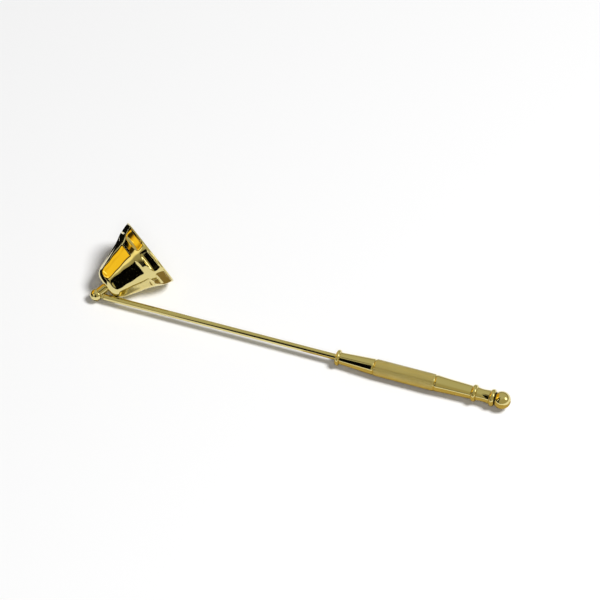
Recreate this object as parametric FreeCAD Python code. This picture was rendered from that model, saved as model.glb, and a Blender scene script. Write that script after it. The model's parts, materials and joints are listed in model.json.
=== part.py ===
import FreeCAD, Part
import math
import os

# Candle snuffer: a ribbed bell hinged to a long rod with a turned handle, lying on a flat surface.
# All sizes are in millimetres and degrees.
#
# Handle pieces are drawn along X from the hinge (0) towards the end knob. Bell pieces are drawn along Z,
# with the hinge pin along X. table_placement() then lays the whole object down.

Vector = FreeCAD.Vector
Rotation = FreeCAD.Rotation
Placement = FreeCAD.Placement

ORIGIN = Vector(0, 0, 0)
X_AXIS = Vector(1, 0, 0)
Y_AXIS = Vector(0, 1, 0)
Z_AXIS = Vector(0, 0, 1)

# --- Hinge ---
REST_ANGLE = 54.0            # between the rod and the bell's axis, where the rod meets the crown
BALL_RADIUS = 3.25
POST_RADIUS = 2.55
SLOT_WIDTH = 1.8
SLOT_FLOOR = 3.6             # from the pin's centre towards the bell
PIN_RADIUS = 0.9
PIN_HEAD_RISE = 0.05         # how far the riveted ends stand out of the ball
PIN_HOLD = 0.01              # radial gap in the ball's cheeks
PIN_RUN = 0.04               # radial gap in the rod's eye
TONGUE_THICKNESS = 1.6
TONGUE_WIDTH = 2.5
EYE_RADIUS = 2.5

# --- Rod ---
ROD_RADIUS = 1.6
SHOULDER_START = 4.3         # where the flat tongue grows into the round rod
SHOULDER_END = 4.9
SHOULDER_START_RADIUS = 0.95 # of the rounded shoulder, at its start and halfway
SHOULDER_MIDDLE_RADIUS = 1.35
SHOULDER_MIDDLE = 4.5
ROD_END = 222.5              # inside the end knob
SLEEVE_GAP = 0.05            # radial gap between the rod and the handle's sleeves
THREAD_GAP = 0.02            # radial gap that stands for a thread

# --- Handle, as distances from the hinge ---
FRONT_RING_START = 131.8
FRONT_TAPER_START = 134.0
GRIP_START = 152.5
REAR_TAPER_START = 185.4
MIDDLE_RING_START = 204.9
WAIST_START = 207.7
REAR_RING_START = 214.6
WASHER_START = 217.4
KNOB_START = 218.1
KNOB_CENTRE = 220.9

FRONT_RING_RADIUS = 4.2
FRONT_TAPER_RADII = (3.1, 4.25)
GRIP_RADIUS = 4.4
GRIP_BEVEL = 0.45
REAR_TAPER_RADII = (4.3, 3.92, 3.5)
MIDDLE_RING_RADIUS = 4.5
WAIST_RADII = (3.45, 3.25, 3.55)
WAIST_LOW = 210.46           # where the waist is thinnest
REAR_RING_RADIUS = 4.55
WASHER_RADIUS = 3.3
KNOB_RADIUS = 4.6
RING_SHOULDER = 0.7          # straight side of a bead below its round
KNOB_HOLE_END = 223.0

# --- Bell, as distances along its axis from the hinge pin ---
CROWN_FACE = 6.3
CROWN_INSIDE = 8.3
RIM = 36.4
RIM_INNER_RADIUS = 17.8
POST_HOLE_RADIUS = 1.95
RIB_COUNT = 8
PANEL_TURN = 6.0             # degrees, of the ribs from the pin's direction
LIP_HEIGHT = 1.0             # plain round lip between the panels and the rim
# Points are (radius, distance).
CROWN_EDGE = (4.2, CROWN_FACE)
CROWN_ROUND = (8.55, 8.45)
SHOULDER = (10.35, 11.2)
OUTER_FLANK = [(12.15, 16.5), (14.05, 22.3), (16.3, 27.6), (18.25, 31.4), (19.15, 34.0), (19.3, RIM)]
INNER_CROWN = (5.0, CROWN_INSIDE)
INNER_ROUND = (7.4, 9.4)
INNER_SHOULDER = (8.35, 12.0)
INNER_FLANK = [(9.4, 16.5), (11.3, 22.3), (13.6, 27.6), (15.4, 31.6), (16.0, 35.2)]
# Panels: cutters of revolution laid along a straight line from the first to the second point.
BODY_PANEL = {
    "start": (9.9, 10.0),
    "end": (15.95, 27.0),
    "side_radius": 30.0,
    "end_radius": 3.0,
    "depth": 0.75,
    "reach": (-1.0, 0.8),
}
SKIRT_PANEL = {
    "start": (17.5, 30.2),
    "end": (19.4, 35.4),
    "side_radius": 30.0,
    "end_radius": 1.5,
    "depth": 1.4,
    "reach": (0.0, 6.2),
}

# --- Screw that holds the post ---
SPIGOT_RADIUS = 1.9
SPIGOT_END = 8.1
SCREW_RADIUS = 1.25
SCREW_TIP = 4.5
TAPPED_HOLE_END = 4.3
WASHER_THICKNESS = 0.6
WASHER_OUTER_RADIUS = 3.5
WASHER_HOLE_RADIUS = 1.35
SCREW_HEAD_RADIUS = 2.4
SCREW_HEAD_HEIGHT = 1.6
SCREW_HEAD_ROUND = 0.6
SCREW_SLOT_WIDTH = 0.6
SCREW_SLOT_DEPTH = 0.8


def outline(start, *steps):
    """Closed wire in the XY plane. A step is a point (line), two points (arc) or a list (smooth curve)."""
    here = Vector(start[0], start[1], 0)
    edges = []
    for step in steps:
        if isinstance(step, list):
            points = [here] + [Vector(x, y, 0) for x, y in step]
            curve = Part.BSplineCurve()
            curve.interpolate(points)
            edges.append(curve.toShape())
            here = points[-1]
        elif isinstance(step[0], tuple):
            middle = Vector(step[0][0], step[0][1], 0)
            end = Vector(step[1][0], step[1][1], 0)
            edges.append(Part.Arc(here, middle, end).toShape())
            here = end
        else:
            end = Vector(step[0], step[1], 0)
            edges.append(Part.makeLine(here, end))
            here = end
    first = Vector(start[0], start[1], 0)
    if here.distanceToPoint(first) > 1e-6:
        edges.append(Part.makeLine(here, first))
    return Part.Wire(edges)


def turned_x(start, *steps):
    """Solid turned about X from an outline of (distance, radius) points."""
    face = Part.Face(outline(start, *steps))
    return face.revolve(ORIGIN, X_AXIS, 360)


def turned_z(start, *steps):
    """Solid turned about Z from an outline of (radius, distance) points."""
    face = Part.Face(outline(start, *steps))
    solid = face.revolve(ORIGIN, Y_AXIS, 360)
    solid.rotate(ORIGIN, X_AXIS, 90)
    return solid


def bead(start, end, radius, bore):
    """Ring with a rounded outer face, turned about X."""
    edge = radius - RING_SHOULDER
    middle = (start + end) / 2
    return turned_x((start, bore), (start, edge), ((middle, radius), (end, edge)), (end, bore))


# --- Handle pieces ---

def make_rod():
    shank = turned_x(
        (SHOULDER_START, 0),
        (SHOULDER_START, SHOULDER_START_RADIUS),
        ((SHOULDER_MIDDLE, SHOULDER_MIDDLE_RADIUS), (SHOULDER_END, ROD_RADIUS)),
        (ROD_END, ROD_RADIUS),
        (ROD_END, 0),
    )
    half = TONGUE_THICKNESS / 2
    eye = Part.makeCylinder(EYE_RADIUS, TONGUE_THICKNESS, Vector(0, 0, -half))
    neck_corner = Vector(0, -TONGUE_WIDTH / 2, -half)
    neck = Part.makeBox(SHOULDER_END, TONGUE_WIDTH, TONGUE_THICKNESS, neck_corner)
    hole = Part.makeCylinder(PIN_RADIUS + PIN_RUN, 2 * BALL_RADIUS, Vector(0, 0, -BALL_RADIUS))
    inside_shank = neck.common(Part.makeCylinder(ROD_RADIUS, SHOULDER_END + EYE_RADIUS, ORIGIN, X_AXIS))
    return shank.fuse([eye, inside_shank]).removeSplitter().cut(hole)


def make_front_ring():
    return bead(FRONT_RING_START, FRONT_TAPER_START, FRONT_RING_RADIUS, ROD_RADIUS + THREAD_GAP)


def make_front_taper():
    bore = ROD_RADIUS + SLEEVE_GAP
    small, large = FRONT_TAPER_RADII
    return turned_x(
        (FRONT_TAPER_START, bore),
        (FRONT_TAPER_START, small),
        (GRIP_START, large),
        (GRIP_START, bore),
    )


def make_knurled_grip():
    bore = ROD_RADIUS + SLEEVE_GAP
    low = GRIP_RADIUS - GRIP_BEVEL
    return turned_x(
        (GRIP_START, bore),
        (GRIP_START, low),
        (GRIP_START + GRIP_BEVEL, GRIP_RADIUS),
        (REAR_TAPER_START - GRIP_BEVEL, GRIP_RADIUS),
        (REAR_TAPER_START, low),
        (REAR_TAPER_START, bore),
    )


def make_rear_taper():
    bore = ROD_RADIUS + SLEEVE_GAP
    large, middle, small = REAR_TAPER_RADII
    middle_x = (REAR_TAPER_START + MIDDLE_RING_START) / 2
    return turned_x(
        (REAR_TAPER_START, bore),
        (REAR_TAPER_START, large),
        [(middle_x, middle), (MIDDLE_RING_START, small)],
        (MIDDLE_RING_START, bore),
    )


def make_middle_ring():
    return bead(MIDDLE_RING_START, WAIST_START, MIDDLE_RING_RADIUS, ROD_RADIUS + SLEEVE_GAP)


def make_waist_spacer():
    bore = ROD_RADIUS + SLEEVE_GAP
    front, middle, back = WAIST_RADII
    return turned_x(
        (WAIST_START, bore),
        (WAIST_START, front),
        ((WAIST_LOW, middle), (REAR_RING_START, back)),
        (REAR_RING_START, bore),
    )


def make_rear_ring():
    return bead(REAR_RING_START, WASHER_START, REAR_RING_RADIUS, ROD_RADIUS + SLEEVE_GAP)


def make_knob_washer():
    bore = ROD_RADIUS + SLEEVE_GAP
    return turned_x(
        (WASHER_START, bore),
        (WASHER_START, WASHER_RADIUS),
        (KNOB_START, WASHER_RADIUS),
        (KNOB_START, bore),
    )


def make_end_knob():
    ball = Part.makeSphere(KNOB_RADIUS, Vector(KNOB_CENTRE, 0, 0))
    face = Vector(KNOB_START, 0, 0)
    side = 4 * KNOB_RADIUS
    front = Part.makeBox(side, side, side, face - Vector(side, side / 2, side / 2))
    hole = Part.makeCylinder(ROD_RADIUS + THREAD_GAP, KNOB_HOLE_END - KNOB_START, face, X_AXIS)
    return ball.cut([front, hole])


# --- Bell pieces ---

def panel_cutter(start, end, side_radius, end_radius, depth, reach):
    """Long round-ended cutter that hollows one panel, its deepest line below the line from start to end."""
    run = math.hypot(end[0] - start[0], end[1] - start[1])
    slope = math.degrees(math.atan2(end[0] - start[0], end[1] - start[1]))
    fade = math.sqrt(2 * end_radius * depth - depth ** 2)
    near = side_radius - depth
    first = fade + reach[0]
    last = run - fade + reach[1]
    bend = end_radius * (1 - math.cos(math.asin(fade / end_radius) / 2))
    half_fade = end_radius * math.sin(math.asin(fade / end_radius) / 2)
    cutter = turned_x(
        (first - fade, 0),
        (first - fade, near),
        ((first - half_fade, side_radius - bend), (first, side_radius)),
        (last, side_radius),
        ((last + half_fade, side_radius - bend), (last + fade, near)),
        (last + fade, 0),
    )
    cutter.rotate(ORIGIN, Y_AXIS, -90)
    cutter.translate(Vector(near, 0, 0))
    cutter.rotate(ORIGIN, Y_AXIS, slope)
    cutter.translate(Vector(start[0], 0, start[1]))
    return cutter


def panel_cutters():
    side = 6 * RIM_INNER_RADIUS
    below_lip = Part.makeBox(side, side, RIM - LIP_HEIGHT, Vector(-side / 2, -side / 2, 0))
    body = panel_cutter(**BODY_PANEL)
    skirt = panel_cutter(**SKIRT_PANEL).common(below_lip)
    cutters = []
    for index in range(RIB_COUNT):
        for cutter in (body, skirt):
            turned = cutter.copy()
            turned.rotate(ORIGIN, Z_AXIS, (index + 0.5) * 360 / RIB_COUNT)
            cutters.append(turned)
    return cutters


def make_bell():
    outside = turned_z((0, CROWN_FACE), CROWN_EDGE, (CROWN_ROUND, SHOULDER), OUTER_FLANK, (0, RIM))
    inside = turned_z(
        (0, CROWN_INSIDE),
        INNER_CROWN,
        (INNER_ROUND, INNER_SHOULDER),
        INNER_FLANK,
        (RIM_INNER_RADIUS, RIM),
        (0, RIM),
    )
    post_hole = Part.makeCylinder(POST_HOLE_RADIUS, RIM)
    bell = outside.cut([inside, post_hole]).cut(panel_cutters())
    bell.rotate(ORIGIN, Z_AXIS, PANEL_TURN)
    return bell


def make_pivot_post():
    ball = Part.makeSphere(BALL_RADIUS)
    post = Part.makeCylinder(POST_RADIUS, CROWN_FACE)
    spigot = Part.makeCylinder(SPIGOT_RADIUS, SPIGOT_END)
    reach = 2 * BALL_RADIUS
    slot_corner = Vector(-SLOT_WIDTH / 2, -reach, -reach)
    slot = Part.makeBox(SLOT_WIDTH, 2 * reach, reach + SLOT_FLOOR, slot_corner)
    pin_hole = Part.makeCylinder(PIN_RADIUS + PIN_HOLD, 2 * BALL_RADIUS, Vector(-BALL_RADIUS, 0, 0), X_AXIS)
    tapped_length = SPIGOT_END - TAPPED_HOLE_END
    tapped = Part.makeCylinder(SCREW_RADIUS + THREAD_GAP, tapped_length, Vector(0, 0, TAPPED_HOLE_END))
    return ball.fuse([post, spigot]).removeSplitter().cut([slot, pin_hole, tapped])


def make_pivot_pin():
    reach = BALL_RADIUS + PIN_HEAD_RISE
    pin = Part.makeCylinder(PIN_RADIUS, 2 * reach, Vector(-reach, 0, 0), X_AXIS)
    return pin.common(Part.makeSphere(reach))


def make_bell_screw():
    head_base = CROWN_INSIDE + WASHER_THICKNESS
    head_top = head_base + SCREW_HEAD_HEIGHT
    flat = SCREW_HEAD_RADIUS - SCREW_HEAD_ROUND
    corner = SCREW_HEAD_ROUND * math.sqrt(0.5)
    screw = turned_z(
        (0, SCREW_TIP),
        (SCREW_RADIUS, SCREW_TIP),
        (SCREW_RADIUS, head_base),
        (SCREW_HEAD_RADIUS, head_base),
        (SCREW_HEAD_RADIUS, head_top - SCREW_HEAD_ROUND),
        ((flat + corner, head_top - SCREW_HEAD_ROUND + corner), (flat, head_top)),
        (0, head_top),
    )
    slot = Part.makeBox(
        4 * SCREW_HEAD_RADIUS,
        SCREW_SLOT_WIDTH,
        2 * SCREW_SLOT_DEPTH,
        Vector(-2 * SCREW_HEAD_RADIUS, -SCREW_SLOT_WIDTH / 2, head_top - SCREW_SLOT_DEPTH),
    )
    return screw.cut(slot)


def make_bell_screw_washer():
    base = Vector(0, 0, CROWN_INSIDE)
    disc = Part.makeCylinder(WASHER_OUTER_RADIUS, WASHER_THICKNESS, base)
    return disc.cut(Part.makeCylinder(WASHER_HOLE_RADIUS, WASHER_THICKNESS, base))


HANDLE_PIECES = {
    "rod": make_rod,
    "front_ring": make_front_ring,
    "front_taper": make_front_taper,
    "knurled_grip": make_knurled_grip,
    "rear_taper": make_rear_taper,
    "middle_ring": make_middle_ring,
    "waist_spacer": make_waist_spacer,
    "rear_ring": make_rear_ring,
    "knob_washer": make_knob_washer,
    "end_knob": make_end_knob,
}
BELL_PIECES = {
    "bell": make_bell,
    "pivot_post": make_pivot_post,
    "pivot_pin": make_pivot_pin,
    "bell_screw": make_bell_screw,
    "bell_screw_washer": make_bell_screw_washer,
}


# --- Putting the pieces together ---

def bell_on_rod():
    """From the bell's drawing to the rod's: the pin goes along Z, the bell's axis to the rest angle."""
    angle = math.radians(REST_ANGLE)
    along = Vector(math.cos(angle), math.sin(angle), 0)
    across = Vector(math.sin(angle), -math.cos(angle), 0)
    return Placement(ORIGIN, Rotation(Z_AXIS, across, along, "ZXY"))


def table_placement():
    """The rod nearly level, rolled so that the bell leans down beside it and comes lowest."""
    tilt = math.asin((KNOB_RADIUS - BALL_RADIUS) / KNOB_CENTRE)
    angle = math.radians(REST_ANGLE)
    rim_radius = OUTER_FLANK[-1][0]
    height = BALL_RADIUS + RIM * math.cos(angle) * math.sin(tilt)
    rise = RIM * math.sin(angle) * math.cos(tilt)
    drop = rim_radius * math.cos(tilt)
    roll = math.acos(height / math.hypot(rise, drop)) - math.atan2(rise, drop)
    turn = Rotation(Y_AXIS, -math.degrees(tilt)).multiply(Rotation(X_AXIS, math.degrees(roll)))
    return Placement(Vector(0, 0, BALL_RADIUS), turn)


def make_pieces():
    """Every piece in the object's frame, with the placement that put the rod there."""
    on_rod = bell_on_rod()
    pieces = {name: make() for name, make in HANDLE_PIECES.items()}
    for name, make in BELL_PIECES.items():
        pieces[name] = make().transformed(on_rod.toMatrix(), True)
    lying = table_placement()
    pieces = {name: shape.transformed(lying.toMatrix(), True) for name, shape in pieces.items()}
    box = Part.makeCompound(list(pieces.values())).optimalBoundingBox()
    shift = Vector(-(box.XMin + box.XMax) / 2, -(box.YMin + box.YMax) / 2, -box.ZMin)
    for shape in pieces.values():
        shape.translate(shift)
    return pieces, Placement(lying.Base + shift, lying.Rotation)


def main():
    pieces, _ = make_pieces()
    os.makedirs("parts", exist_ok=True)
    for name, shape in pieces.items():
        shape.exportStep(f"parts/{name}.step")
        print(name, shape.ShapeType, len(shape.Solids), shape.isValid(), round(shape.Volume, 1))


main()
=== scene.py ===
import json
import math

import bmesh
import bpy
import numpy as np
from mathutils import Matrix, Vector


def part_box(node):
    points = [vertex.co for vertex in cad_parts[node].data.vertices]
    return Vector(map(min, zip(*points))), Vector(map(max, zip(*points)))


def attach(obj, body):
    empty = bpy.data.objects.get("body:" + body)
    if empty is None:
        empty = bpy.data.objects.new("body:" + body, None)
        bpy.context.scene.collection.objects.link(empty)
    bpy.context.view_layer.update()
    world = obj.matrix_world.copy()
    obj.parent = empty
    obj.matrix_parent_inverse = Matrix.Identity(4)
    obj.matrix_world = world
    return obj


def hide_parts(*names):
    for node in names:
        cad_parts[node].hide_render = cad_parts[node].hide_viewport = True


# Candle snuffer: a polished, ribbed bell on a hinge, a thin rod and a turned handle with a knurled grip.
# Places come from the frame. Sizes along the rod and the bell's axis are in millimetres from the hinge.

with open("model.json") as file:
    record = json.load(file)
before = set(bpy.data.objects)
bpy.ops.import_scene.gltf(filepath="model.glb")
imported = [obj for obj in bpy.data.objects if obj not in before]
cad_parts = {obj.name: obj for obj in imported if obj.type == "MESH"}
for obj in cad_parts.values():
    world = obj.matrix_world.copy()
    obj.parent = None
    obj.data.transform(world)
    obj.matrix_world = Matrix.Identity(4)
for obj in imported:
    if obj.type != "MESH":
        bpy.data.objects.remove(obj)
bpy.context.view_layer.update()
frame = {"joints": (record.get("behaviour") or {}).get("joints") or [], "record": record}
MM = 0.001


# --- Places in the frame ---

def axes_at(origin, x, y, z):
    """Matrix with these directions as its axes, from a drawing in millimetres to the frame in metres."""
    turn = Matrix((x, y, z)).transposed().to_4x4()
    return Matrix.Translation(origin) @ turn @ Matrix.Scale(MM, 4)


HINGE = frame["joints"][0]
PIVOT = Vector(HINGE["pos_m"])
PIN = Vector(HINGE["axis"]).normalized()
MOUTH = Vector(frame["record"]["mounts"][0]["axis"]).normalized()
KNOB_LOW, KNOB_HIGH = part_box("end_knob")
KNOB_MIDDLE = (KNOB_LOW + KNOB_HIGH) / 2
KNOB_SIZE = (KNOB_HIGH.z - KNOB_LOW.z) / 2
ROD_LINE = (Vector((KNOB_HIGH.x - KNOB_SIZE, KNOB_MIDDLE.y, KNOB_MIDDLE.z)) - PIVOT).normalized()
ON_ROD = axes_at(PIVOT, ROD_LINE, PIN.cross(ROD_LINE), PIN)   # X along the rod, Z along the pin
ON_BELL = axes_at(PIVOT, PIN, MOUTH.cross(PIN), MOUTH)        # X along the pin, Z out of the bell's mouth
X_TO_MOUTH = ON_BELL @ Matrix.Rotation(math.radians(-90), 4, "Y")
Z_TO_PIN = ON_BELL @ Matrix.Rotation(math.radians(90), 4, "Y")

# --- Sizes ---
BALL_RADIUS = 3.25
POST_RADIUS = 2.55
SPIGOT_RADIUS = 1.9           # of the post's end, inside the crown's hole
SPIGOT_END = 8.1
SLOT_WIDTH = 1.8
SLOT_FLOOR = 3.6
TAP_RADIUS = 1.27             # hole for the screw, up the post
TAP_START = 4.3
PIN_RADIUS = 0.9
PIN_HOLE_RADIUS = 0.91
PIN_HEAD_RISE = 0.05
TONGUE_THICKNESS = 1.6
TONGUE_WIDTH = 2.5
TONGUE_INTO_ROD = 0.6
EYE_RADIUS = 2.5
EYE_HOLE_RADIUS = 0.94
ROD_RADIUS = 1.6
SHOULDER_START = 4.3
ROD_END = 222.5

FRONT_RING = (131.8, 134.0)
FRONT_TAPER = (134.0, 152.5)
GRIP = (152.5, 185.4)
REAR_TAPER = (185.4, 204.9)
MIDDLE_RING = (204.9, 207.7)
WAIST = (207.7, 214.6)
REAR_RING = (214.6, 217.4)
WASHER = (217.4, 218.1)
FRONT_RING_RADIUS = 4.2
MIDDLE_RING_RADIUS = 4.5
REAR_RING_RADIUS = 4.55
WASHER_RADIUS = 3.3
KNOB_CENTRE = 220.9
KNOB_RADIUS = 4.6
KNOB_HOLE_RADIUS = 1.62
KNOB_HOLE_END = 223.0
SLEEVE_BORE = 1.65
SLEEVE_END_RADIUS = 4.0       # of the grip and the cones where they meet

KNURL_RADIUS = 4.4
KNURL_DEPTH = 0.18
KNURL_PITCH = 0.95           # between grooves, along the grip
KNURL_STARTS = 30            # grooves round the grip, each way
KNURL_STEPS = 10             # mesh steps from one groove to the next
KNURL_STEEPNESS = 3.5        # of the grooves' sides: higher leaves wider diamonds
KNURL_FADE = 0.5
GRIP_BEVEL = 0.45

CROWN_FACE = 6.3
CROWN_INSIDE = 8.3
RIM = 36.4
RIM_RADIUS = 19.3
RIM_INNER_RADIUS = 17.8
CROWN_HOLE = 1.95
SCREW_START = 4.5
SCREW_RADIUS = 1.25
SCREW_HEAD_RADIUS = 2.4
SCREW_HEAD_HEIGHT = 1.6
SCREW_SLOT_WIDTH = 0.6
SCREW_SLOT_DEPTH = 0.8
SCREW_WASHER_RADIUS = 3.5
SCREW_WASHER_HOLE = 1.35
SCREW_WASHER_THICKNESS = 0.6
RIBS = 8
PANEL_TURN = 6.0             # degrees, of the ribs from the pin's direction

# --- Mesh fineness ---
BELL_COLUMNS = 480
BELL_ROWS = 210
INNER_ROWS = 70
LATHE_COLUMNS = 160
SMALL_COLUMNS = 96
ARC_STEPS = 6                # in a rounded corner
ARC_GUARD = 0.12             # from a rounded corner to the point that keeps the face beside it flat
SHARP_EDGE = 32              # degrees, on pieces that were joined or cut
BELL_SHARP_EDGE = 50


# --- Mesh building ---

def face_outward(mesh):
    """Turns the faces of a closed mesh outward."""
    work = bmesh.new()
    work.from_mesh(mesh)
    bmesh.ops.recalc_face_normals(work, faces=work.faces)
    work.to_mesh(mesh)
    work.free()


def mesh_piece(name, points, faces, place, body, material):
    """One smooth-shaded piece from points in its own drawing."""
    mesh = bpy.data.meshes.new(name)
    mesh.from_pydata([place @ Vector(p) for p in points], [], faces)
    mesh.polygons.foreach_set("use_smooth", [True] * len(mesh.polygons))
    face_outward(mesh)
    piece = bpy.data.objects.new(name, mesh)
    bpy.context.scene.collection.objects.link(piece)
    mesh.materials.append(material)
    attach(piece, body)
    return piece


def ring_faces(rows, columns, closed):
    """Faces between rows of points round an axis. closed joins the last row to the first."""
    faces = []
    for row in range(rows if closed else rows - 1):
        here = row * columns
        above = (row + 1) % rows * columns
        for column in range(columns):
            after = (column + 1) % columns
            faces.append((here + column, here + after, above + after, above + column))
    return faces


def rounded(corners):
    """Points of an outline of (x, r, round) corners, each round an arc with a guard point on either side."""
    points = []
    count = len(corners)
    for index, (x, r, radius) in enumerate(corners):
        here = np.array((x, r))
        if radius == 0:
            points.append(here)
            continue
        before = np.array(corners[index - 1][:2]) - here
        after = np.array(corners[(index + 1) % count][:2]) - here
        before_length = np.linalg.norm(before)
        after_length = np.linalg.norm(after)
        before = before / before_length
        after = after / after_length
        half = math.acos(np.clip(before @ after, -1, 1)) / 2
        reach = min(radius / math.tan(half), 0.46 * before_length, 0.46 * after_length)
        radius = reach * math.tan(half)
        middle = (before + after) / np.linalg.norm(before + after)
        centre = here + middle * radius / math.sin(half)
        start = here + before * reach
        end = here + after * reach
        if ARC_GUARD < 0.5 * (before_length - reach):
            points.append(start + before * ARC_GUARD)
        turn = math.pi - 2 * half
        for step in range(ARC_STEPS + 1):
            points.append(slerp(start - centre, end - centre, step / ARC_STEPS, turn) + centre)
        if ARC_GUARD < 0.5 * (after_length - reach):
            points.append(end + after * ARC_GUARD)
    return points


def slerp(first, last, part, angle):
    """Vector this part of the way from the first to the last, turning through the angle between them."""
    if angle < 1e-6:
        return first + (last - first) * part
    return (math.sin((1 - part) * angle) * first + math.sin(part * angle) * last) / math.sin(angle)


def lathe(name, corners, body, material, place=None, solid=False, columns=LATHE_COLUMNS):
    """Piece turned about its drawing's X axis.

    The outline of a solid one starts and ends on the axis. Any other outline closes on itself.
    """
    outline = rounded(corners)
    angles = np.linspace(0, 2 * math.pi, columns, endpoint=False)
    points = []
    if solid:
        first, outline, last = outline[0], outline[1:-1], outline[-1]
    for x, r in outline:
        points.extend(zip([x] * columns, r * np.cos(angles), r * np.sin(angles)))
    faces = ring_faces(len(outline), columns, not solid)
    if solid:
        low = len(points)
        points.append((first[0], 0, 0))
        points.append((last[0], 0, 0))
        top = (len(outline) - 1) * columns
        for column in range(columns):
            after = (column + 1) % columns
            faces.append((low, after, column))
            faces.append((low + 1, top + column, top + after))
    return mesh_piece(name, points, faces, place or ON_ROD, body, material)


def bake(piece):
    """Applies the modifiers and shades the result smooth up to its sharp edges."""
    graph = bpy.context.evaluated_depsgraph_get()
    mesh = bpy.data.meshes.new_from_object(piece.evaluated_get(graph))
    piece.modifiers.clear()
    piece.data = mesh
    mesh.polygons.foreach_set("use_smooth", [True] * len(mesh.polygons))
    mesh.set_sharp_from_angle(angle=math.radians(SHARP_EDGE))


def combine(piece, tools, operation):
    """Joins tools to the piece or cuts them from it, then removes them."""
    for tool in tools:
        change = piece.modifiers.new(operation.lower(), "BOOLEAN")
        change.operation = operation
        change.solver = "EXACT"
        change.object = tool
    bpy.context.view_layer.update()
    bake(piece)
    for tool in tools:
        bpy.data.objects.remove(tool)


def tool_object(name, points, faces, place):
    """Plain mesh object that combine uses up."""
    mesh = bpy.data.meshes.new(name)
    mesh.from_pydata([place @ Vector(p) for p in points], [], faces)
    mesh.validate()
    face_outward(mesh)
    tool = bpy.data.objects.new(name, mesh)
    bpy.context.scene.collection.objects.link(tool)
    return tool


def box_tool(low, high, place):
    """Box between two corners."""
    xs, ys, zs = zip(low, high)
    points = [(x, y, z) for x in xs for y in ys for z in zs]
    faces = [(0, 1, 3, 2), (4, 6, 7, 5), (0, 4, 5, 1), (2, 3, 7, 6), (0, 2, 6, 4), (1, 5, 7, 3)]
    return tool_object("box_tool", points, faces, place)


def rod_tool(radius, low, high, place):
    """Cylinder along the drawing's Z axis."""
    columns = SMALL_COLUMNS
    angles = np.linspace(0, 2 * math.pi, columns, endpoint=False)
    points = [(radius * math.cos(a), radius * math.sin(a), z) for z in (low, high) for a in angles]
    faces = ring_faces(2, columns, False)
    faces.append(tuple(range(columns)))
    faces.append(tuple(range(columns, 2 * columns)))
    return tool_object("rod_tool", points, faces, place)


# --- Materials ---

def node_material(name):
    """New material with its nodes, its links and its shader."""
    material = bpy.data.materials.new(name)
    material.use_nodes = True
    nodes = material.node_tree.nodes
    return material, nodes, material.node_tree.links, nodes["Principled BSDF"]


def object_noise(nodes, links, scale, detail):
    """Noise fixed to the object."""
    place = nodes.new("ShaderNodeTexCoord")
    noise = nodes.new("ShaderNodeTexNoise")
    noise.inputs["Scale"].default_value = scale
    noise.inputs["Detail"].default_value = detail
    links.new(place.outputs["Object"], noise.inputs["Vector"])
    return noise.outputs["Fac"]


def ramp(nodes, links, source, low, high, start=0.3, end=0.7):
    """Colour ramp between two colours or two grey levels."""
    node = nodes.new("ShaderNodeValToRGB")
    node.color_ramp.elements[0].position = start
    node.color_ramp.elements[1].position = end
    for element, value in zip(node.color_ramp.elements, (low, high)):
        element.color = value if isinstance(value, tuple) else (value, value, value, 1)
    links.new(source, node.inputs["Fac"])
    return node.outputs["Color"]


def metal(name, light, dark, polish, dull, scratch=0.02):
    """Metal whose colour, polish and fine wiping marks vary a little over its surface."""
    material, nodes, links, shader = node_material(name)
    shader.inputs["Metallic"].default_value = 1.0
    broad = object_noise(nodes, links, 45, 3)
    links.new(ramp(nodes, links, broad, dark, light), shader.inputs["Base Color"])
    fine = object_noise(nodes, links, 260, 5)
    links.new(ramp(nodes, links, fine, polish, dull), shader.inputs["Roughness"])
    marks = object_noise(nodes, links, 900, 3)
    bump = nodes.new("ShaderNodeBump")
    bump.inputs["Strength"].default_value = scratch
    bump.inputs["Distance"].default_value = 0.00005
    links.new(marks, bump.inputs["Height"])
    links.new(bump.outputs["Normal"], shader.inputs["Normal"])
    return material


GOLD = metal("polished_gold_brass", (0.74, 0.64, 0.28, 1), (0.70, 0.60, 0.25, 1), 0.05, 0.10)
KNURL_GOLD = metal("knurled_gold_brass", (0.76, 0.67, 0.31, 1), (0.70, 0.60, 0.26, 1), 0.08, 0.14)
BLACK_STEEL = metal("blackened_steel", (0.05, 0.045, 0.035, 1), (0.02, 0.018, 0.015, 1), 0.30, 0.45, 0.1)
SCREW_STEEL = metal("bright_steel", (0.62, 0.62, 0.60, 1), (0.52, 0.52, 0.50, 1), 0.18, 0.30, 0.05)


# --- Handle pieces ---

def make_rod():
    """Shank with a flat tongue in front, which ends in the eye round the hinge pin."""
    rod = lathe(
        "rod_shank",
        [
            (SHOULDER_START, 0, 0),
            (SHOULDER_START, ROD_RADIUS, 0.55),
            (ROD_END, ROD_RADIUS, 0.3),
            (ROD_END, 0, 0),
        ],
        "handle", GOLD, solid=True, columns=SMALL_COLUMNS,
    )
    half = TONGUE_THICKNESS / 2
    inset = 0.001
    eye = rod_tool(EYE_RADIUS, -half, half, ON_ROD)
    neck_low = (0, -TONGUE_WIDTH / 2, -half + inset)
    neck_high = (SHOULDER_START + TONGUE_INTO_ROD, TONGUE_WIDTH / 2, half - inset)
    neck = box_tool(neck_low, neck_high, ON_ROD)
    combine(eye, [neck], "UNION")
    combine(rod, [eye], "UNION")
    combine(rod, [rod_tool(EYE_HOLE_RADIUS, -BALL_RADIUS, BALL_RADIUS, ON_ROD)], "DIFFERENCE")
    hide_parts("rod")


def sleeve(name, node, span, outer, rounds, material=GOLD):
    """Turned sleeve with a straight bore between two ends. Its outer outline is given as (x, r) points."""
    start, end = span
    corners = [(start, SLEEVE_BORE, 0.1)]
    for (x, r), radius in zip(outer, rounds):
        corners.append((x, r, radius))
    corners.append((end, SLEEVE_BORE, 0.1))
    piece = lathe(name, corners, "handle", material)
    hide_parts(node)


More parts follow.
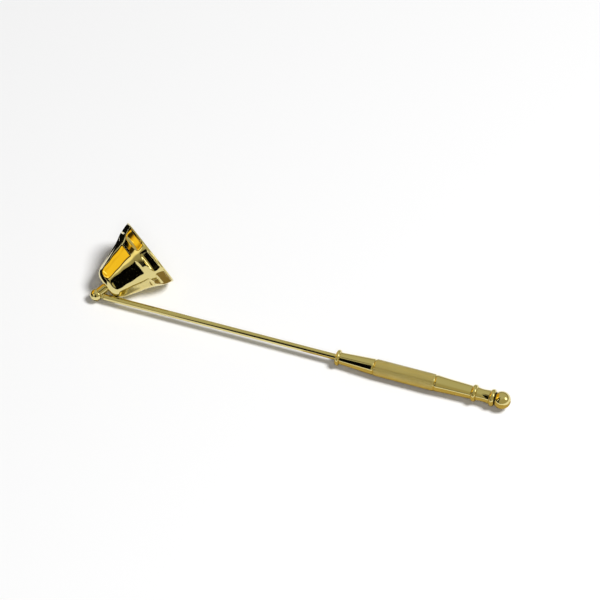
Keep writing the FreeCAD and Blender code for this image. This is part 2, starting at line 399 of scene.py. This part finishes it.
def make_bead(node, span, radius):
    """Bead whose outer face is nearly a half circle, between short flat sides."""
    start, end = span
    middle = (start + end) / 2
    half = (end - start) / 2
    rise = 0.9 * half
    low = radius - rise
    steps = 12
    outline = [(start, low - 0.5), (start, low - 0.25)]
    for step in range(steps + 1):
        angle = math.pi * step / steps
        outline.append((middle - half * math.cos(angle), low + rise * math.sin(angle)))
    outline += [(end, low - 0.25), (end, low - 0.5)]
    sleeve(node + "_bead", node, span, outline, end_rounds(outline, 0.15, 0.15))


def end_rounds(outline, first, last):
    """Roundings for an outline whose corners are rounded only at its two ends."""
    return [first] + [0] * (len(outline) - 2) + [last]


def curve_points(points, count):
    """Smooth curve through a few points: a natural cubic over x."""
    xs = np.array([p[0] for p in points], float)
    ys = np.array([p[1] for p in points], float)
    at = np.linspace(xs[0], xs[-1], count)
    return list(zip(at, cubic(xs, ys, at)))


def cubic(xs, ys, at):
    """Natural cubic spline through (xs, ys), read at these places."""
    n = len(xs)
    h = np.diff(xs)
    a = np.zeros((n, n))
    b = np.zeros(n)
    a[0, 0] = 1
    a[-1, -1] = 1
    for i in range(1, n - 1):
        a[i, i - 1:i + 2] = (h[i - 1], 2 * (h[i - 1] + h[i]), h[i])
        b[i] = 3 * ((ys[i + 1] - ys[i]) / h[i] - (ys[i] - ys[i - 1]) / h[i - 1])
    c = np.linalg.solve(a, b)
    i = np.clip(np.searchsorted(xs, at, side="right") - 1, 0, n - 2)
    slope = (ys[i + 1] - ys[i]) / h[i] - h[i] * (2 * c[i] + c[i + 1]) / 3
    t = at - xs[i]
    return ys[i] + slope * t + c[i] * t ** 2 + (c[i + 1] - c[i]) / (3 * h[i]) * t ** 3


def make_tapers():
    """The smooth cones before and behind the grip."""
    start, end = FRONT_TAPER
    front = curve_points([(start, 3.1), (start + 6.2, 3.5), (start + 12.3, 3.9), (end - 0.25, 4.25)], 24)
    front.append((end, SLEEVE_END_RADIUS))
    sleeve("front_cone", "front_taper", FRONT_TAPER, front, end_rounds(front, 0.15, 0.05))
    start, end = REAR_TAPER
    rear = curve_points([(start + 0.25, 4.3), (start + 6.5, 3.93), (start + 13, 3.72), (end, 3.5)], 24)
    rear.insert(0, (start, SLEEVE_END_RADIUS))
    sleeve("rear_cone", "rear_taper", REAR_TAPER, rear, end_rounds(rear, 0.05, 0.15))


def make_waist():
    """The hollow-sided spacer between the two rear beads."""
    start, end = WAIST
    outline = curve_points([(start, 3.5), (start + 2.3, 3.25), (start + 4.6, 3.33), (end, 3.6)], 20)
    sleeve("waist_sleeve", "waist_spacer", WAIST, outline, end_rounds(outline, 0.1, 0.1))


def triangle_wave(phase):
    """Wave that falls from 1 to 0 and rises again, once for each whole number."""
    return np.abs(2 * (phase - np.floor(phase)) - 1)


def knurl_radius(xs, turns, low_end, high_end):
    """Radius of the diamond pattern: two sets of V grooves that cross. The diamonds fade out at both ends."""
    along = (xs - GRIP[0]) / KNURL_PITCH
    left = triangle_wave(KNURL_STARTS * turns + along)
    right = triangle_wave(KNURL_STARTS * turns - along)
    height = np.minimum(1, KNURL_STEEPNESS * np.minimum(left, right))
    fade = np.clip(np.minimum(xs - low_end, high_end - xs) / KNURL_FADE, 0, 1)
    return KNURL_RADIUS - KNURL_DEPTH * (1 - height * fade)


def make_grip():
    """Knurled sleeve with a plain bevel at each end."""
    start, end = GRIP
    low_end = start + GRIP_BEVEL
    high_end = end - GRIP_BEVEL
    rows = int((high_end - low_end) / KNURL_PITCH * KNURL_STEPS)
    columns = KNURL_STARTS * KNURL_STEPS
    turn = np.linspace(0, 1, columns, endpoint=False)
    xs, turns = np.meshgrid(np.linspace(low_end, high_end, rows), turn, indexing="ij")
    rings = [(start, SLEEVE_BORE), (start, SLEEVE_END_RADIUS)]
    rings += zip(xs[:, 0], knurl_radius(xs, turns, low_end, high_end))
    rings += [(end, SLEEVE_END_RADIUS), (end, SLEEVE_BORE)]
    angles = 2 * math.pi * turn
    points = []
    for x, radius in rings:
        points.extend(zip([x] * columns, radius * np.cos(angles), radius * np.sin(angles)))
    faces = ring_faces(len(rings), columns, True)
    grip = mesh_piece("grip_knurl", points, faces, ON_ROD, "handle", KNURL_GOLD)
    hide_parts("knurled_grip")


def make_knob():
    """Ball with a flat towards the washer and a blind hole for the rod's tail."""
    flat = WASHER[1]
    flat_radius = math.sqrt(KNOB_RADIUS ** 2 - (KNOB_CENTRE - flat) ** 2)
    outline = [
        (KNOB_HOLE_END, 0, 0),
        (KNOB_HOLE_END, KNOB_HOLE_RADIUS, 0),
        (flat, KNOB_HOLE_RADIUS, 0),
        (flat, flat_radius - 0.15, 0.08),
    ]
    first = math.acos((KNOB_CENTRE - flat) / KNOB_RADIUS)
    steps = 64
    for step in range(steps + 1):
        angle = first + (math.pi - first) * step / steps
        outline.append((KNOB_CENTRE - KNOB_RADIUS * math.cos(angle), KNOB_RADIUS * math.sin(angle), 0))
    knob = lathe("knob_ball", outline, "handle", GOLD, solid=True)
    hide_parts("end_knob")


def make_washer():
    outline = [(x, WASHER_RADIUS) for x in WASHER]
    sleeve("washer_disc", "knob_washer", WASHER, outline, [0.1, 0.1], BLACK_STEEL)


def make_handle():
    make_rod()
    make_bead("front_ring", FRONT_RING, FRONT_RING_RADIUS)
    make_tapers()
    make_grip()
    make_bead("middle_ring", MIDDLE_RING, MIDDLE_RING_RADIUS)
    make_waist()
    make_bead("rear_ring", REAR_RING, REAR_RING_RADIUS)
    make_washer()
    make_knob()


# --- The bell ---

# Outline of the bell along a rib, then of its inside below the rim, as (radius, distance from the hinge).
OUTER = [
    (3.0, 6.3), (4.6, 6.34), (6.6, 6.9), (8.35, 8.2), (9.6, 9.9), (10.55, 12.0), (11.6, 15.3), (12.7, 18.2),
    (13.65, 21.2), (14.7, 24.1), (16.0, 27.0), (17.35, 29.7), (18.35, 32.0), (19.0, 34.2), (19.25, 35.6),
]
INNER = [
    (16.0, 34.6), (15.4, 31.6), (13.6, 27.6), (11.3, 22.3), (9.4, 16.5), (8.35, 12.0),
    (7.4, 9.6), (5.6, 8.45), (3.6, 8.3),
]

# A row of panels is cut by a wide round-ended cylinder that lies along the bell's side. It has the radius
# "side" and ends rounded by "round", sinks "depth" into the line from start to end, as (radius, distance),
# and reaches past both ends by "reach".
BODY_PANEL = {
    "start": (9.9, 10.0),
    "end": (15.95, 27.0),
    "side": 30.0,
    "round": 3.0,
    "depth": 0.75,
    "reach": (-1.0, 0.8),
}
SKIRT_PANEL = {
    "start": (17.5, 30.2),
    "end": (19.4, 35.4),
    "side": 30.0,
    "round": 1.5,
    "depth": 1.4,
    "reach": (0.0, 6.2),
}
RIB_ROUND = 0.5              # how softly a panel's edge turns into its rib
LIP_START = 34.8             # the panels end in a round lip between these distances
LIP_FULL = 36.0
BEYOND_BELL = 40.0           # radius given where a line misses the cutter


def spaced(points, count):
    """Smooth curve through points, evenly spaced along its length."""
    points = np.array(points)
    along = np.concatenate([[0], np.cumsum(np.linalg.norm(np.diff(points, axis=0), axis=1))])
    at = np.linspace(0, along[-1], count)
    return np.stack([cubic(along, points[:, 0], at), cubic(along, points[:, 1], at)], axis=1)


def panel_radius(panel, angle, level):
    """Radius at which a line out from the bell's axis meets the panel's round-ended cutter."""
    start = np.array(panel["start"])
    end = np.array(panel["end"])
    run = np.linalg.norm(end - start)
    out, up = (end - start) / run
    fade = math.sqrt(2 * panel["round"] * panel["depth"] - panel["depth"] ** 2)
    first = fade + panel["reach"][0]
    last = run - fade + panel["reach"][1]
    centre = panel["side"] - panel["depth"]
    farthest = 30.0
    low = np.full(angle.shape, 2.0)
    high = np.full(angle.shape, farthest)
    for _ in range(36):
        radius = (low + high) / 2
        flat = radius * np.cos(angle) - start[0]
        rise = level - start[1]
        along = rise * up + flat * out
        away = flat * up - rise * out - centre
        past = np.maximum(first - along, 0) + np.maximum(along - last, 0)
        size = panel["side"] - panel["round"] + np.sqrt(np.maximum(panel["round"] ** 2 - past ** 2, 0))
        size = np.where(past > panel["round"], 0.0, size)
        outside = np.hypot(away, radius * np.sin(angle)) > size
        low = np.where(outside, radius, low)
        high = np.where(outside, high, radius)
    return np.where(high > farthest - 0.1, BEYOND_BELL, high)


def soft_min(a, b, width):
    """Smaller of two values, blended where they differ by less than the width."""
    blend = np.clip(0.5 + 0.5 * (b - a) / width, 0, 1)
    return b + (a - b) * blend - width * blend * (1 - blend)


def outside_rows():
    """Radius and distance of the bell's outside at every row and column, and the columns' angles."""
    line = spaced(OUTER, BELL_ROWS)
    angles = np.linspace(0, 2 * math.pi, BELL_COLUMNS, endpoint=False)
    pitch = 2 * math.pi / RIBS
    folded = ((angles - math.radians(PANEL_TURN)) % pitch) - pitch / 2
    angle, level = np.meshgrid(folded, line[:, 1])
    rib = np.repeat(line[:, :1], BELL_COLUMNS, axis=1)
    body = panel_radius(BODY_PANEL, angle, level)
    skirt = panel_radius(SKIRT_PANEL, angle, level)
    lip = np.clip((level - LIP_START) / (LIP_FULL - LIP_START), 0, 1)
    skirt = skirt + (rib + 1 - skirt) * lip * lip * (3 - 2 * lip) * (skirt < rib + 1)
    radius = soft_min(rib, np.minimum(body, skirt), RIB_ROUND)
    return radius, level, angles


def rim_and_inside():
    """Outline from the half-round rim down the inside to the crown's hole, as (radius, distance)."""
    middle = (RIM_RADIUS + RIM_INNER_RADIUS) / 2
    half = (RIM_RADIUS - RIM_INNER_RADIUS) / 2
    outline = []
    steps = 8
    for step in range(steps + 1):
        angle = math.pi * step / steps
        outline.append((middle + half * math.cos(angle), RIM - half + half * math.sin(angle)))
    below_rim = (RIM_INNER_RADIUS, RIM - half - 0.1)
    outline += [tuple(point) for point in spaced([below_rim] + INNER, INNER_ROWS)]
    outline += [(CROWN_HOLE, CROWN_INSIDE), (CROWN_HOLE, CROWN_FACE)]
    return outline


def make_bell():
    radii, levels, angles = outside_rows()
    rings = list(zip(radii, levels))
    rings += [(radius, [level] * BELL_COLUMNS) for radius, level in rim_and_inside()]
    cos = np.cos(angles)
    sin = np.sin(angles)
    points = []
    for radius, level in rings:
        points.extend(zip(radius * cos, radius * sin, level))
    faces = ring_faces(len(rings), BELL_COLUMNS, True)
    bell = mesh_piece("bell_shell", points, faces, ON_BELL, "bell", GOLD)
    bell.data.set_sharp_from_angle(angle=math.radians(BELL_SHARP_EDGE))
    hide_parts("bell")


def make_post():
    """Ball-ended post with a saw slot for the rod's eye."""
    meet = math.sqrt(BALL_RADIUS ** 2 - POST_RADIUS ** 2)
    last = math.pi - math.atan2(POST_RADIUS, meet)
    outline = []
    steps = 48
    for step in range(steps + 1):
        angle = last * step / steps
        outline.append((-BALL_RADIUS * math.cos(angle), BALL_RADIUS * math.sin(angle), 0))
    outline += [
        (meet + 0.1, POST_RADIUS, 0),
        (CROWN_FACE, POST_RADIUS, 0.1),
        (CROWN_FACE, SPIGOT_RADIUS, 0),
        (SPIGOT_END, SPIGOT_RADIUS, 0.1),
        (SPIGOT_END, 0, 0),
    ]
    post = lathe("ball_post", outline, "bell", GOLD, place=X_TO_MOUTH, solid=True)
    half = SLOT_WIDTH / 2
    reach = 2 * BALL_RADIUS
    slot = box_tool((-half, -reach, -reach), (half, reach, SLOT_FLOOR), ON_BELL)
    hole = rod_tool(PIN_HOLE_RADIUS, -reach, reach, Z_TO_PIN)
    tapped = rod_tool(TAP_RADIUS, TAP_START, SPIGOT_END + 0.9, ON_BELL)
    combine(post, [slot, hole, tapped], "DIFFERENCE")
    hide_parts("pivot_post")


def make_pin():
    """Rivet whose domed ends follow the post's ball."""
    top = BALL_RADIUS + PIN_HEAD_RISE
    edge = math.sqrt(top ** 2 - PIN_RADIUS ** 2)
    tilt = math.atan2(PIN_RADIUS, edge)
    outline = [(-top, 0, 0)]
    steps = 8
    for step in range(1, steps + 1):
        angle = tilt * step / steps
        outline.append((-top * math.cos(angle), top * math.sin(angle), 0))
    outline += [(-x, r, 0) for x, r, _ in reversed(outline)]
    pin = lathe(
        "hinge_rivet", outline, "bell", GOLD,
        place=ON_BELL, solid=True, columns=64,
    )
    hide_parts("pivot_pin")


def make_screw():
    """Slotted screw through the crown into the post."""
    base = CROWN_INSIDE + SCREW_WASHER_THICKNESS
    top = base + SCREW_HEAD_HEIGHT
    outline = [
        (SCREW_START, 0, 0),
        (SCREW_START, SCREW_RADIUS, 0.2),
        (base, SCREW_RADIUS, 0),
        (base, SCREW_HEAD_RADIUS, 0.1),
        (top, SCREW_HEAD_RADIUS, 0.7),
        (top, 0, 0),
    ]
    screw = lathe(
        "crown_screw", outline, "bell", SCREW_STEEL,
        place=X_TO_MOUTH, solid=True, columns=SMALL_COLUMNS,
    )
    half = SCREW_SLOT_WIDTH / 2
    reach = 2 * SCREW_HEAD_RADIUS
    slot = box_tool((-reach, -half, top - SCREW_SLOT_DEPTH), (reach, half, top + 1), ON_BELL)
    combine(screw, [slot], "DIFFERENCE")
    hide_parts("bell_screw")


def make_screw_washer():
    low = CROWN_INSIDE
    high = CROWN_INSIDE + SCREW_WASHER_THICKNESS
    outline = [
        (low, SCREW_WASHER_HOLE, 0.05),
        (low, SCREW_WASHER_RADIUS, 0.1),
        (high, SCREW_WASHER_RADIUS, 0.15),
        (high, SCREW_WASHER_HOLE, 0.05),
    ]
    washer = lathe(
        "crown_washer", outline, "bell", SCREW_STEEL,
        place=X_TO_MOUTH, columns=SMALL_COLUMNS,
    )
    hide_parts("bell_screw_washer")


# --- Studio ---

CAMERA_AZIMUTH = 18.8
CAMERA_ELEVATION = 50.2
CAMERA_DISTANCE = 2.4
CAMERA_LENS = 276.1
CAMERA_AIM = Vector((-0.01104, 0.01752, 0))
AMBIENT = 0.14               # grey of the world, for everything but reflections
# Painted dark reflection: black for the cards that only the metal sees.
PAINTED_DARK_REFLECTION = (0.004, 0.004, 0.004)
# Painted shadow: the brown that the shaded floor under the bell shows in the bell's reflection.
PAINTED_SHADOW_BROWN = (0.27, 0.20, 0.09)
# Painted shadow: the darker gold that the shaded floor under the handle gives in the handle's reflection.
PAINTED_SHADOW_GOLD = (0.52, 0.40, 0.16)

# What the metal reflects from the world, as (height, colour). The height is 0 at and below the horizon
# and 1 straight up.
SKY = [
    (0.0, (0.26, 0.23, 0.14, 1)),
    (0.5, (0.52, 0.50, 0.36, 1)),
    (1.0, (0.56, 0.55, 0.42, 1)),
]

# Oval patches on that sky that show only as reflections in the metal: name, azimuth,
# elevation, half width, half height, soft edge (all in degrees), colour and strength. Later ones lie over
# earlier ones. With none of them and no cards, the metal reflects a plain studio.
# Each patch is a painted reflection and lights nothing: the warm, pale and white ones are painted glow and
# highlights, the black and brown ones painted dark reflections, and the grey-gold one at the front right a
# painted dull reflection.
PATCHES = [
    ("painted_reflection_front_right", 38, 20, 46, 34, 14, (0.44, 0.40, 0.24), 1.0),
    ("painted_warm_reflection", -95, 27, 32, 20, 8, (0.78, 0.42, 0.015), 1.0),
    ("painted_warm_reflection_middle", -80, 29, 5, 12, 8, (1.0, 0.66, 0.05), 1.25),
    ("painted_warm_highlight_core", -79, 34, 2, 3, 3, (1.0, 0.88, 0.35), 2.2),
    ("painted_dark_reflection_low_left", -77, 0, 66, 11, 4, (0.0, 0.0, 0.0), 1.0),
    ("painted_brown_reflection_edge", -57, 32, 6, 26, 5, (0.05, 0.03, 0.005), 1.0),
    ("painted_pale_highlight", -42, 28, 7, 11, 4, (1.0, 0.92, 0.62), 1.3),
    ("painted_highlight_right", 98, 37, 11, 14, 4, (1.0, 1.0, 0.95), 2.6),
]


def direction(azimuth, elevation):
    """Unit vector from the object towards this azimuth and elevation. Azimuth 0 is straight in front (-Y)."""
    a = math.radians(azimuth)
    e = math.radians(elevation)
    return Vector((math.sin(a) * math.cos(e), -math.cos(a) * math.cos(e), math.sin(e)))


def make_camera():
    camera = bpy.data.objects.new("camera", bpy.data.cameras.new("camera"))
    bpy.context.scene.collection.objects.link(camera)
    back = direction(CAMERA_AZIMUTH, CAMERA_ELEVATION)
    camera.location = CAMERA_AIM + back * CAMERA_DISTANCE
    camera.rotation_mode = "QUATERNION"
    camera.rotation_quaternion = (-back).to_track_quat("-Z", "Y")
    camera.data.lens = CAMERA_LENS
    camera.data.clip_start = 0.05
    camera.data.clip_end = 20
    bpy.context.scene.camera = camera


def make_floor():
    mesh = bpy.data.meshes.new("studio_floor")
    far = 3.0
    corners = [(-far, -far, 0), (far, -far, 0), (far, far, 0), (-far, far, 0)]
    mesh.from_pydata(corners, [], [(0, 1, 2, 3)])
    floor = bpy.data.objects.new("studio_floor", mesh)
    bpy.context.scene.collection.objects.link(floor)
    material, _, _, shader = node_material("studio_paper")
    shader.inputs["Base Color"].default_value = (0.93, 0.93, 0.93, 1)
    shader.inputs["Roughness"].default_value = 0.9
    shader.inputs["Specular IOR Level"].default_value = 0.0
    mesh.materials.append(material)


def floor_point(x, y, height=0.5):
    """Point this far, in millimetres, from the hinge along X and Y, at a height over the floor."""
    return Vector((PIVOT.x + x * MM, PIVOT.y + y * MM, height * MM))


def floor_sector(x, y, first, last, near, far, steps=24):
    """Outline of a flat piece of floor between two azimuths and two distances from a point."""
    towards = [direction(first + (last - first) * step / steps, 0) for step in range(steps + 1)]
    outer = [floor_point(x, y) + far * MM * way for way in towards]
    inner = [floor_point(x, y) + near * MM * way for way in reversed(towards)]
    return outer + inner


def make_card(name, points, colour):
    """Flat card that shows only as a reflection in the metal: the camera and the floor don't see it."""
    mesh = bpy.data.meshes.new(name)
    mesh.from_pydata(points, [], [tuple(range(len(points)))])
    card = bpy.data.objects.new(name, mesh)
    bpy.context.scene.collection.objects.link(card)
    # The card's colour is a painted reflection: only glossy rays see it, so it changes what the metal
    # reflects and nothing else.
    material, _, _, shader = node_material(name + "_painted_reflection")
    shader.inputs["Base Color"].default_value = (*colour, 1)
    shader.inputs["Roughness"].default_value = 1.0
    shader.inputs["Specular IOR Level"].default_value = 0.0
    mesh.materials.append(material)
    card.visible_camera = False
    card.visible_diffuse = False
    card.visible_shadow = False


def make_cards():
    """Cards round the object that darken parts of what the bell and the handle reflect: painted dark
    reflections, and painted shadow of the floor under the bell and the handle.
    """
    # Painted dark reflection of the floor to the left and front left.
    left = floor_sector(17, 14, -145, -45, 40, 400)
    make_card("left_dark_reflection_card", left, PAINTED_DARK_REFLECTION)
    # Painted shadow of the floor beneath the bell's lower side, seen only in the bell's reflection.
    low = floor_sector(40, 8, 0, 360, 0.1, 9)
    make_card("bell_floor_shadow_card", low, PAINTED_SHADOW_BROWN)
    # Painted shadow of the floor under the handle, seen only in the handle's reflection.
    under = [floor_point(x, y) for x, y in ((112, -34), (236, -34), (236, 6), (112, 6))]
    make_card("handle_floor_shadow_card", under, PAINTED_SHADOW_GOLD)
    # Painted dark reflection of a standing sheet in front of the object.
    front = [floor_point(x, -260, height) for x, height in ((-22, 0), (108, 0), (108, 500), (-22, 500))]
    make_card("front_dark_reflection_card", front, PAINTED_DARK_REFLECTION)


def area_light(name, azimuth, elevation, distance, size, power):
    """Round soft light that points at the object. It doesn't show in the metal."""
    data = bpy.data.lights.new(name, "AREA")
    data.shape = "DISK"
    data.size = size
    data.energy = power
    lamp = bpy.data.objects.new(name, data)
    bpy.context.scene.collection.objects.link(lamp)
    towards = direction(azimuth, elevation)
    lamp.location = towards * distance
    lamp.rotation_mode = "QUATERNION"
    lamp.rotation_quaternion = towards.to_track_quat("Z", "Y")
    lamp.visible_glossy = False


def link_dot(nodes, links, source, vector):
    """How far a direction goes along this vector."""
    dot = nodes.new("ShaderNodeVectorMath")
    dot.operation = "DOT_PRODUCT"
    dot.inputs[1].default_value = vector
    links.new(source, dot.inputs[0])
    return dot.outputs["Value"]


def patch_mask(nodes, links, source, azimuth, elevation, half_width, half_height, soft):
    """1 inside an oval patch of the sky, 0 outside, with a soft edge."""
    towards = direction(azimuth, elevation)
    up = direction(azimuth, elevation + 90)
    wide = up.cross(towards) / math.sin(math.radians(half_width))
    tall = up / math.sin(math.radians(half_height))
    oval = nodes.new("ShaderNodeCombineXYZ")
    links.new(link_dot(nodes, links, source, wide), oval.inputs["X"])
    links.new(link_dot(nodes, links, source, tall), oval.inputs["Y"])
    away = nodes.new("ShaderNodeMapRange")
    away.inputs["From Min"].default_value = 0.1
    away.inputs["From Max"].default_value = 0.0
    away.inputs["To Max"].default_value = 9.0
    links.new(link_dot(nodes, links, source, towards), away.inputs["Value"])
    links.new(away.outputs["Result"], oval.inputs["Z"])
    length = nodes.new("ShaderNodeVectorMath")
    length.operation = "LENGTH"
    links.new(oval.outputs["Vector"], length.inputs[0])
    inside = nodes.new("ShaderNodeMapRange")
    inside.interpolation_type = "SMOOTHSTEP"
    inside.inputs["From Min"].default_value = 1 + soft / min(half_width, half_height)
    inside.inputs["From Max"].default_value = 1.0
    links.new(length.outputs["Value"], inside.inputs["Value"])
    return inside.outputs["Result"]


def sky_colour(nodes, links, source):
    """Colour of the sky by height."""
    height = nodes.new("ShaderNodeValToRGB")
    stops = height.color_ramp.elements
    for place, _ in SKY[1:-1]:
        stops.new(place)
    for stop, (place, colour) in zip(stops, SKY):
        stop.position = place
        stop.color = colour
    links.new(link_dot(nodes, links, source, Vector((0, 0, 1))), height.inputs["Fac"])
    return height.outputs["Color"]


def make_world():
    """Plain grey for light, and the sky with its patches for reflections."""
    world = bpy.data.worlds.new("studio")
    bpy.context.scene.world = world
    world.use_nodes = True
    nodes, links = world.node_tree.nodes, world.node_tree.links
    background = nodes["Background"]
    source = nodes.new("ShaderNodeTexCoord").outputs["Generated"]
    colour = sky_colour(nodes, links, source)
    # Each patch mixes its painted reflection into the sky that only the metal sees.
    for name, azimuth, elevation, half_width, half_height, soft, tint, strength in PATCHES:
        mask = patch_mask(nodes, links, source, azimuth, elevation, half_width, half_height, soft)
        mix = nodes.new("ShaderNodeMix")
        mix.data_type = "RGBA"
        mix.name = name
        links.new(mask, mix.inputs["Factor"])
        links.new(colour, mix.inputs["A"])
        mix.inputs["B"].default_value = [strength * c for c in tint] + [1]
        colour = mix.outputs["Result"]
    in_metal = nodes.new("ShaderNodeMix")
    in_metal.data_type = "RGBA"
    in_metal.inputs["A"].default_value = (AMBIENT, AMBIENT, AMBIENT, 1)
    links.new(nodes.new("ShaderNodeLightPath").outputs["Is Glossy Ray"], in_metal.inputs["Factor"])
    links.new(colour, in_metal.inputs["B"])
    links.new(in_metal.outputs["Result"], background.inputs["Color"])


def make_studio():
    make_camera()
    make_floor()
    make_world()
    make_cards()
    area_light("key_light", azimuth=85, elevation=62, distance=3.0, size=0.9, power=84)
    area_light("fill_light", CAMERA_AZIMUTH, CAMERA_ELEVATION, distance=3.0, size=1.2, power=14)
    view = bpy.context.scene.view_settings
    view.view_transform = "Standard"
    view.look = "None"


make_handle()
make_bell()
make_post()
make_pin()
make_screw()
make_screw_washer()
make_studio()
